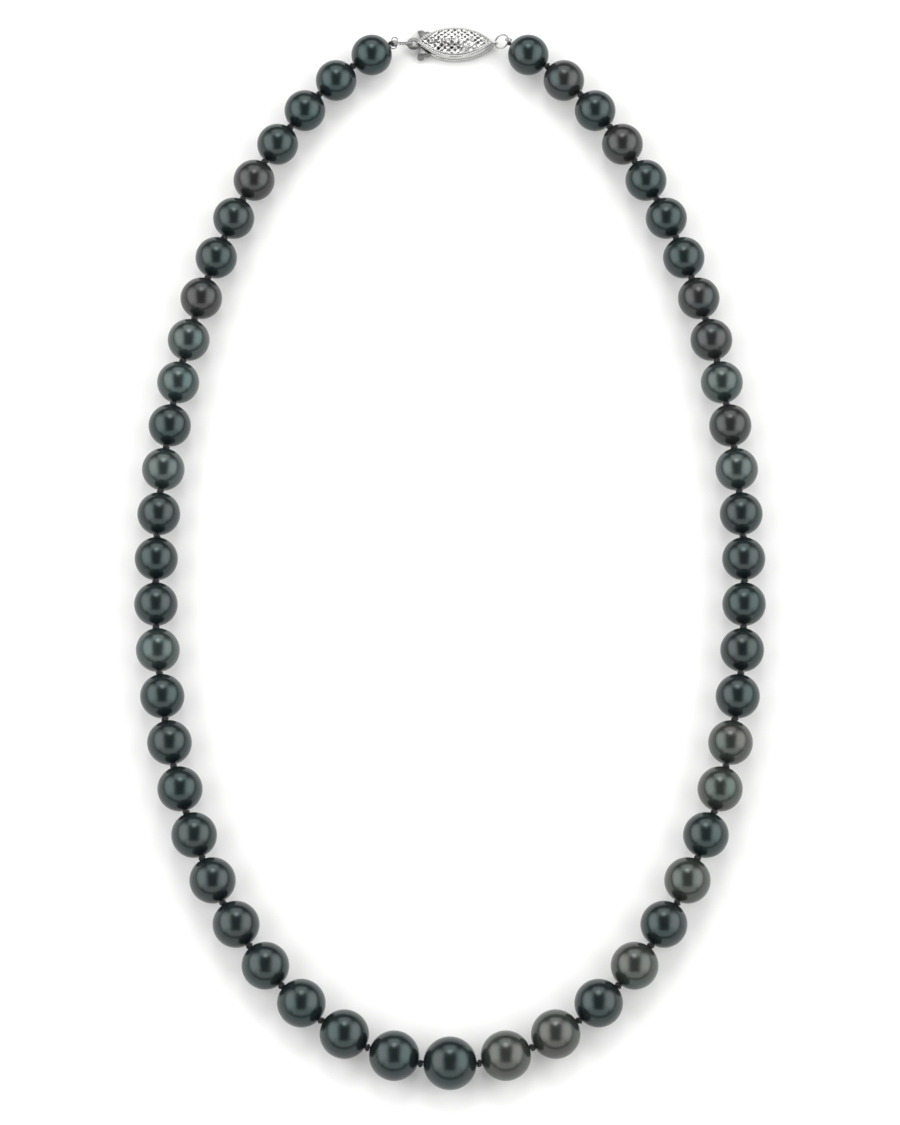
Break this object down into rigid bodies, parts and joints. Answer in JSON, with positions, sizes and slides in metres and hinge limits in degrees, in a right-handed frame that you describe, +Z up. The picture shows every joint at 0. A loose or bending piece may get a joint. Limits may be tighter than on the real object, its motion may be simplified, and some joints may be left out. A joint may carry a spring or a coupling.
{
  "type": "pearl necklace",
  "caption": "Graduated single strand of dark round pearls on knotted silk, laid as a closed loop with a marquise filigree hook clasp.",
  "frame": {"origin": "middle of the bounding box, on the surface that the necklace lies on", "axes": "+Z up, +Y from the centre pearl to the clasp, +X to the right of someone looking along +Y"},
  "size_m": [0.1056, 0.1911, 0.0087],
  "materials": {
    "pearl_black": "gloss",
    "pearl_green": "gloss",
    "pearl_grey": "gloss",
    "pearl_plum": "gloss",
    "clasp_shell": "satin",
    "filigree": "polished",
    "hook_sheet": "satin",
    "ring_wire": "polished"
  },
  "bodies": {
    "clasp_housing": {"clasp_base": "clasp_shell", "filigree_top": "filigree", "catch_bar": "clasp_shell"},
    "hook": {"hook": "hook_sheet"},
    "jump_ring": {"jump_ring": "ring_wire"},
    "end_loop_left": {"end_loop_left": "ring_wire"},
    "end_loop_right": {"end_loop_right": "ring_wire"},
    "pearl_centre": {"pearl_centre": "pearl_black"},
    "pearl_left_26": {"pearl_left_26": "pearl_black"},
    "pearl_left_25": {"pearl_left_25": "pearl_black"},
    "pearl_left_24": {"pearl_left_24": "pearl_black"},
    "pearl_left_23": {"pearl_left_23": "pearl_black"},
    "pearl_left_22": {"pearl_left_22": "pearl_plum"},
    "pearl_left_21": {"pearl_left_21": "pearl_black"},
    "pearl_left_20": {"pearl_left_20": "pearl_black"},
    "pearl_left_19": {"pearl_left_19": "pearl_plum"},
    "pearl_left_18": {"pearl_left_18": "pearl_green"},
    "pearl_left_17": {"pearl_left_17": "pearl_green"},
    "pearl_left_16": {"pearl_left_16": "pearl_black"},
    "pearl_left_15": {"pearl_left_15": "pearl_green"},
    "pearl_left_14": {"pearl_left_14": "pearl_black"},
    "pearl_left_13": {"pearl_left_13": "pearl_black"},
    "pearl_left_12": {"pearl_left_12": "pearl_black"},
    "pearl_left_11": {"pearl_left_11": "pearl_green"},
    "pearl_left_10": {"pearl_left_10": "pearl_black"},
    "pearl_left_09": {"pearl_left_09": "pearl_black"},
    "pearl_left_08": {"pearl_left_08": "pearl_black"},
    "pearl_left_07": {"pearl_left_07": "pearl_black"},
    "pearl_left_06": {"pearl_left_06": "pearl_black"},
    "pearl_left_05": {"pearl_left_05": "pearl_black"},
    "pearl_left_04": {"pearl_left_04": "pearl_black"},
    "pearl_left_03": {"pearl_left_03": "pearl_black"},
    "pearl_left_02": {"pearl_left_02": "pearl_black"},
    "pearl_left_01": {"pearl_left_01": "pearl_black"},
    "pearl_right_26": {"pearl_right_26": "pearl_black"},
    "pearl_right_25": {"pearl_right_25": "pearl_plum"},
    "pearl_right_24": {"pearl_right_24": "pearl_black"},
    "pearl_right_23": {"pearl_right_23": "pearl_plum"},
    "pearl_right_22": {"pearl_right_22": "pearl_black"},
    "pearl_right_21": {"pearl_right_21": "pearl_black"},
    "pearl_right_20": {"pearl_right_20": "pearl_black"},
    "pearl_right_19": {"pearl_right_19": "pearl_plum"},
    "pearl_right_18": {"pearl_right_18": "pearl_plum"},
    "pearl_right_17": {"pearl_right_17": "pearl_green"},
    "pearl_right_16": {"pearl_right_16": "pearl_plum"},
    "pearl_right_15": {"pearl_right_15": "pearl_green"},
    "pearl_right_14": {"pearl_right_14": "pearl_black"},
    "pearl_right_13": {"pearl_right_13": "pearl_black"},
    "pearl_right_12": {"pearl_right_12": "pearl_black"},
    "pearl_right_11": {"pearl_right_11": "pearl_black"},
    "pearl_right_10": {"pearl_right_10": "pearl_black"},
    "pearl_right_09": {"pearl_right_09": "pearl_grey"},
    "pearl_right_08": {"pearl_right_08": "pearl_grey"},
    "pearl_right_07": {"pearl_right_07": "pearl_black"},
    "pearl_right_06": {"pearl_right_06": "pearl_grey"},
    "pearl_right_05": {"pearl_right_05": "pearl_black"},
    "pearl_right_04": {"pearl_right_04": "pearl_grey"},
    "pearl_right_03": {"pearl_right_03": "pearl_black"},
    "pearl_right_02": {"pearl_right_02": "pearl_grey"},
    "pearl_right_01": {"pearl_right_01": "pearl_grey"}
  },
  "joints": [
    {"name": "clasp_hook_slide", "type": "slide", "parent": "clasp_housing", "child": "hook", "axis": [-1, 0, 0], "range_m": [0, 0.01]},
    {"name": "end_loop_left_turn", "type": "hinge", "parent": "hook", "child": "end_loop_left", "pos_m": [-0.00637, 0.0926, 0.00128], "axis": [0, 0, -1], "range_deg": [0, 30]},
    {"name": "jump_ring_turn", "type": "hinge", "parent": "clasp_housing", "child": "jump_ring", "pos_m": [0.00788, 0.0926, 0.0015], "axis": [0, 0, 1], "range_deg": [0, 20]},
    {"name": "end_loop_right_turn", "type": "hinge", "parent": "jump_ring", "child": "end_loop_right", "pos_m": [0.01013, 0.0926, 0.0028], "axis": [0, 0, 1], "range_deg": [0, 25]},
    {"name": "knot_left_26_bend", "type": "hinge", "parent": "end_loop_left", "child": "pearl_left_26", "pos_m": [-0.01035, 0.09155, 0.00354], "axis": [-0.5582, 0.8297, 0], "range_deg": [-12, 12]},
    {"name": "knot_left_25_swing", "type": "hinge", "parent": "pearl_left_26", "child": "pearl_left_25", "pos_m": [-0.01691, 0.08714, 0.00354], "axis": [0, 0, -1], "range_deg": [0, 18]},
    {"name": "knot_left_24_bend", "type": "hinge", "parent": "pearl_left_25", "child": "pearl_left_24", "pos_m": [-0.02266, 0.08172, 0.00355], "axis": [0.7325, -0.6807, 0], "range_deg": [-24, 24]},
    {"name": "knot_left_23_swing", "type": "hinge", "parent": "pearl_left_24", "child": "pearl_left_23", "pos_m": [-0.02764, 0.07559, 0.00355], "axis": [0, 0, -1], "range_deg": [0, 18]},
    {"name": "knot_left_22_bend", "type": "hinge", "parent": "pearl_left_23", "child": "pearl_left_22", "pos_m": [-0.03194, 0.06893, 0.00356], "axis": [-0.864, 0.5035, 0], "range_deg": [-24, 24]},
    {"name": "knot_left_21_swing", "type": "hinge", "parent": "pearl_left_22", "child": "pearl_left_21", "pos_m": [-0.03561, 0.06191, 0.00356], "axis": [0, 0, -1], "range_deg": [0, 18]},
    {"name": "knot_left_20_bend", "type": "hinge", "parent": "pearl_left_21", "child": "pearl_left_20", "pos_m": [-0.03874, 0.05462, 0.00356], "axis": [0.9314, -0.3639, 0], "range_deg": [-24, 24]},
    {"name": "knot_left_19_swing", "type": "hinge", "parent": "pearl_left_20", "child": "pearl_left_19", "pos_m": [-0.04139, 0.04713, 0.00357], "axis": [0, 0, -1], "range_deg": [0, 18]},
    {"name": "knot_left_18_bend", "type": "hinge", "parent": "pearl_left_19", "child": "pearl_left_18", "pos_m": [-0.0436, 0.03949, 0.00358], "axis": [-0.9674, 0.2532, 0], "range_deg": [-24, 24]},
    {"name": "knot_left_17_swing", "type": "hinge", "parent": "pearl_left_18", "child": "pearl_left_17", "pos_m": [-0.04542, 0.03173, 0.00358], "axis": [0, 0, -1], "range_deg": [0, 18]},
    {"name": "knot_left_16_bend", "type": "hinge", "parent": "pearl_left_17", "child": "pearl_left_16", "pos_m": [-0.04687, 0.02388, 0.00359], "axis": [0.9871, -0.16, 0], "range_deg": [-24, 24]},
    {"name": "knot_left_15_swing", "type": "hinge", "parent": "pearl_left_16", "child": "pearl_left_15", "pos_m": [-0.04798, 0.01595, 0.0036], "axis": [0, 0, -1], "range_deg": [0, 18]},
    {"name": "knot_left_14_bend", "type": "hinge", "parent": "pearl_left_15", "child": "pearl_left_14", "pos_m": [-0.04874, 0.00796, 0.00361], "axis": [-0.9972, 0.0743, 0], "range_deg": [-24, 24]},
    {"name": "knot_left_13_swing", "type": "hinge", "parent": "pearl_left_14", "child": "pearl_left_13", "pos_m": [-0.04917, -0.00008, 0.00363], "axis": [0, 0, -1], "range_deg": [0, 18]},
    {"name": "knot_left_12_bend", "type": "hinge", "parent": "pearl_left_13", "child": "pearl_left_12", "pos_m": [-0.04925, -0.00816, 0.00364], "axis": [0.9999, 0.0127, 0], "range_deg": [-24, 24]},
    {"name": "knot_left_11_swing", "type": "hinge", "parent": "pearl_left_12", "child": "pearl_left_11", "pos_m": [-0.04896, -0.01626, 0.00366], "axis": [0, 0, -1], "range_deg": [0, 18]},
    {"name": "knot_left_10_bend", "type": "hinge", "parent": "pearl_left_11", "child": "pearl_left_10", "pos_m": [-0.04828, -0.02438, 0.00368], "axis": [-0.994, -0.1097, 0], "range_deg": [-24, 24]},
    {"name": "knot_left_09_swing", "type": "hinge", "parent": "pearl_left_10", "child": "pearl_left_09", "pos_m": [-0.04717, -0.03249, 0.0037], "axis": [0, 0, -1], "range_deg": [0, 18]},
    {"name": "knot_left_08_bend", "type": "hinge", "parent": "pearl_left_09", "child": "pearl_left_08", "pos_m": [-0.04557, -0.04057, 0.00373], "axis": [0.9739, 0.2271, 0], "range_deg": [-24, 24]},
    {"name": "knot_left_07_swing", "type": "hinge", "parent": "pearl_left_08", "child": "pearl_left_07", "pos_m": [-0.04342, -0.04858, 0.00376], "axis": [0, 0, -1], "range_deg": [0, 18]},
    {"name": "knot_left_06_bend", "type": "hinge", "parent": "pearl_left_07", "child": "pearl_left_06", "pos_m": [-0.04063, -0.05645, 0.00379], "axis": [-0.9261, -0.3772, 0], "range_deg": [-24, 24]},
    {"name": "knot_left_05_swing", "type": "hinge", "parent": "pearl_left_06", "child": "pearl_left_05", "pos_m": [-0.03709, -0.0641, 0.00383], "axis": [0, 0, -1], "range_deg": [0, 18]},
    {"name": "knot_left_04_bend", "type": "hinge", "parent": "pearl_left_05", "child": "pearl_left_04", "pos_m": [-0.0327, -0.07139, 0.00387], "axis": [0.8208, 0.5712, 0], "range_deg": [-24, 24]},
    {"name": "knot_left_03_swing", "type": "hinge", "parent": "pearl_left_04", "child": "pearl_left_03", "pos_m": [-0.02734, -0.07811, 0.00392], "axis": [0, 0, -1], "range_deg": [0, 18]},
    {"name": "knot_left_02_bend", "type": "hinge", "parent": "pearl_left_03", "child": "pearl_left_02", "pos_m": [-0.02088, -0.08397, 0.00398], "axis": [-0.5964, -0.8027, 0], "range_deg": [-24, 24]},
    {"name": "knot_left_01_swing", "type": "hinge", "parent": "pearl_left_02", "child": "pearl_left_01", "pos_m": [-0.01331, -0.08852, 0.00405], "axis": [0, 0, -1], "range_deg": [0, 18]},
    {"name": "knot_centre_bend", "type": "hinge", "parent": "pearl_left_01", "child": "pearl_centre", "pos_m": [-0.00473, -0.09117, 0.00421], "axis": [0.1493, 0.9888, 0], "range_deg": [-24, 24]},
    {"name": "knot_right_26_bend", "type": "hinge", "parent": "end_loop_right", "child": "pearl_right_26", "pos_m": [0.01035, 0.09155, 0.00354], "axis": [-0.5582, -0.8297, 0], "range_deg": [-12, 12]},
    {"name": "knot_right_25_swing", "type": "hinge", "parent": "pearl_right_26", "child": "pearl_right_25", "pos_m": [0.01691, 0.08714, 0.00354], "axis": [0, 0, 1], "range_deg": [0, 18]},
    {"name": "knot_right_24_bend", "type": "hinge", "parent": "pearl_right_25", "child": "pearl_right_24", "pos_m": [0.02266, 0.08172, 0.00355], "axis": [0.7325, 0.6807, 0], "range_deg": [-24, 24]},
    {"name": "knot_right_23_swing", "type": "hinge", "parent": "pearl_right_24", "child": "pearl_right_23", "pos_m": [0.02764, 0.07559, 0.00355], "axis": [0, 0, 1], "range_deg": [0, 18]},
    {"name": "knot_right_22_bend", "type": "hinge", "parent": "pearl_right_23", "child": "pearl_right_22", "pos_m": [0.03194, 0.06893, 0.00356], "axis": [-0.864, -0.5035, 0], "range_deg": [-24, 24]},
    {"name": "knot_right_21_swing", "type": "hinge", "parent": "pearl_right_22", "child": "pearl_right_21", "pos_m": [0.03561, 0.06191, 0.00356], "axis": [0, 0, 1], "range_deg": [0, 18]},
    {"name": "knot_right_20_bend", "type": "hinge", "parent": "pearl_right_21", "child": "pearl_right_20", "pos_m": [0.03874, 0.05462, 0.00356], "axis": [0.9314, 0.3639, 0], "range_deg": [-24, 24]},
    {"name": "knot_right_19_swing", "type": "hinge", "parent": "pearl_right_20", "child": "pearl_right_19", "pos_m": [0.04139, 0.04713, 0.00357], "axis": [0, 0, 1], "range_deg": [0, 18]},
    {"name": "knot_right_18_bend", "type": "hinge", "parent": "pearl_right_19", "child": "pearl_right_18", "pos_m": [0.0436, 0.03949, 0.00358], "axis": [-0.9674, -0.2532, 0], "range_deg": [-24, 24]},
    {"name": "knot_right_17_swing", "type": "hinge", "parent": "pearl_right_18", "child": "pearl_right_17", "pos_m": [0.04542, 0.03173, 0.00358], "axis": [0, 0, 1], "range_deg": [0, 18]},
    {"name": "knot_right_16_bend", "type": "hinge", "parent": "pearl_right_17", "child": "pearl_right_16", "pos_m": [0.04687, 0.02388, 0.00359], "axis": [0.9871, 0.16, 0], "range_deg": [-24, 24]},
    {"name": "knot_right_15_swing", "type": "hinge", "parent": "pearl_right_16", "child": "pearl_right_15", "pos_m": [0.04798, 0.01595, 0.0036], "axis": [0, 0, 1], "range_deg": [0, 18]},
    {"name": "knot_right_14_bend", "type": "hinge", "parent": "pearl_right_15", "child": "pearl_right_14", "pos_m": [0.04874, 0.00796, 0.00361], "axis": [-0.9972, -0.0743, 0], "range_deg": [-24, 24]},
    {"name": "knot_right_13_swing", "type": "hinge", "parent": "pearl_right_14", "child": "pearl_right_13", "pos_m": [0.04917, -0.00008, 0.00363], "axis": [0, 0, 1], "range_deg": [0, 18]},
    {"name": "knot_right_12_bend", "type": "hinge", "parent": "pearl_right_13", "child": "pearl_right_12", "pos_m": [0.04925, -0.00816, 0.00364], "axis": [0.9999, -0.0127, 0], "range_deg": [-24, 24]},
    {"name": "knot_right_11_swing", "type": "hinge", "parent": "pearl_right_12", "child": "pearl_right_11", "pos_m": [0.04896, -0.01626, 0.00366], "axis": [0, 0, 1], "range_deg": [0, 18]},
    {"name": "knot_right_10_bend", "type": "hinge", "parent": "pearl_right_11", "child": "pearl_right_10", "pos_m": [0.04828, -0.02438, 0.00368], "axis": [-0.994, 0.1097, 0], "range_deg": [-24, 24]},
    {"name": "knot_right_09_swing", "type": "hinge", "parent": "pearl_right_10", "child": "pearl_right_09", "pos_m": [0.04717, -0.03249, 0.0037], "axis": [0, 0, 1], "range_deg": [0, 18]},
    {"name": "knot_right_08_bend", "type": "hinge", "parent": "pearl_right_09", "child": "pearl_right_08", "pos_m": [0.04557, -0.04057, 0.00373], "axis": [0.9739, -0.2271, 0], "range_deg": [-24, 24]},
    {"name": "knot_right_07_swing", "type": "hinge", "parent": "pearl_right_08", "child": "pearl_right_07", "pos_m": [0.04342, -0.04858, 0.00376], "axis": [0, 0, 1], "range_deg": [0, 18]},
    {"name": "knot_right_06_bend", "type": "hinge", "parent": "pearl_right_07", "child": "pearl_right_06", "pos_m": [0.04063, -0.05645, 0.00379], "axis": [-0.9261, 0.3772, 0], "range_deg": [-24, 24]},
    {"name": "knot_right_05_swing", "type": "hinge", "parent": "pearl_right_06", "child": "pearl_right_05", "pos_m": [0.03709, -0.0641, 0.00383], "axis": [0, 0, 1], "range_deg": [0, 18]},
    {"name": "knot_right_04_bend", "type": "hinge", "parent": "pearl_right_05", "child": "pearl_right_04", "pos_m": [0.0327, -0.07139, 0.00387], "axis": [0.8208, -0.5712, 0], "range_deg": [-24, 24]},
    {"name": "knot_right_03_swing", "type": "hinge", "parent": "pearl_right_04", "child": "pearl_right_03", "pos_m": [0.02734, -0.07811, 0.00392], "axis": [0, 0, 1], "range_deg": [0, 18]},
    {"name": "knot_right_02_bend", "type": "hinge", "parent": "pearl_right_03", "child": "pearl_right_02", "pos_m": [0.02088, -0.08397, 0.00398], "axis": [-0.5964, 0.8027, 0], "range_deg": [-24, 24]},
    {"name": "knot_right_01_swing", "type": "hinge", "parent": "pearl_right_02", "child": "pearl_right_01", "pos_m": [0.01331, -0.08852, 0.00405], "axis": [0, 0, 1], "range_deg": [0, 18]}
  ]
}
